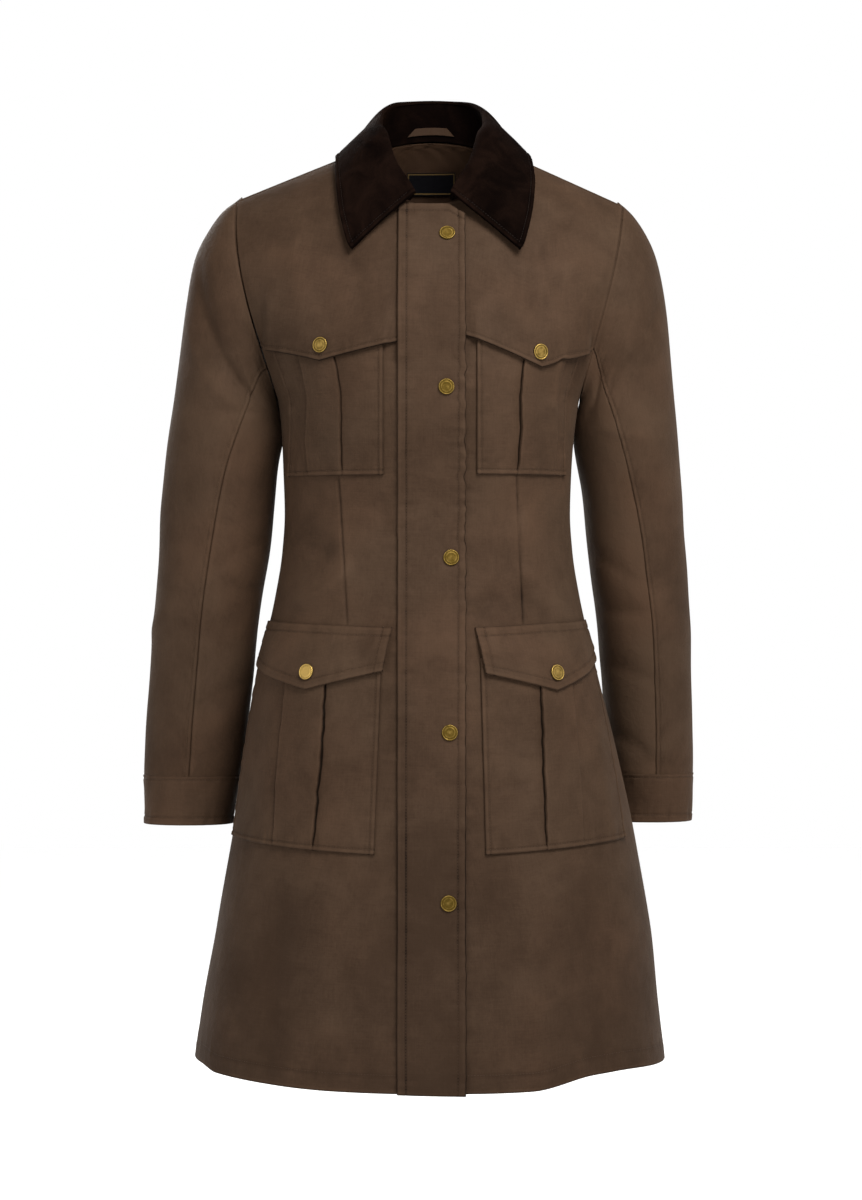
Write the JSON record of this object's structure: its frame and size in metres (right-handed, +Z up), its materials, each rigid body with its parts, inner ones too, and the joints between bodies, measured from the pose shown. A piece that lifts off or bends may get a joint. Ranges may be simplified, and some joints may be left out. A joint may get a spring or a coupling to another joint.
{
  "type": "waxed coat",
  "caption": "Fitted waxed cotton coat with a pile collar, storm yokes, pleated patch pockets and a snap placket, filled out and hollow",
  "frame": {"origin": "the middle of the neck opening, level with the back neck seam, where the wearer's neck carries the coat", "axes": "+Z up along the coat, the front faces -Y, +X towards the wearer's left side"},
  "size_m": [0.5416, 0.3463, 0.9403],
  "materials": {
    "waxed_cotton": "waxed, soft sheen",
    "lining_cotton": "matt lining",
    "collar_pile": "dark short pile",
    "snap_brass": "aged brass",
    "label_weave": "bare woven label"
  },
  "bodies": {
    "root": {"back": "waxed_cotton", "chest_pocket_left": "waxed_cotton", "chest_pocket_right": "waxed_cotton", "collar_fall": "collar_pile", "collar_stand": "collar_pile", "cuff_left": "waxed_cotton", "cuff_right": "waxed_cotton", "front_left": "waxed_cotton", "front_right": "waxed_cotton", "hanger_loop": "lining_cotton", "hip_flap_left": "waxed_cotton", "hip_flap_right": "waxed_cotton", "hip_pocket_left": "waxed_cotton", "hip_pocket_right": "waxed_cotton", "label": "label_weave", "neck_facing": "lining_cotton", "placket": "waxed_cotton", "sleeve_top_left": "waxed_cotton", "sleeve_top_right": "waxed_cotton", "sleeve_under_left": "waxed_cotton", "sleeve_under_right": "waxed_cotton", "snap_flap_left": "snap_brass", "snap_flap_right": "snap_brass", "snap_placket_1": "snap_brass", "snap_placket_2": "snap_brass", "snap_placket_3": "snap_brass", "snap_placket_4": "snap_brass", "snap_placket_5": "snap_brass", "snap_yoke_left": "snap_brass", "snap_yoke_right": "snap_brass", "yoke_left": "waxed_cotton", "yoke_right": "waxed_cotton"}
  },
  "joints": []
}
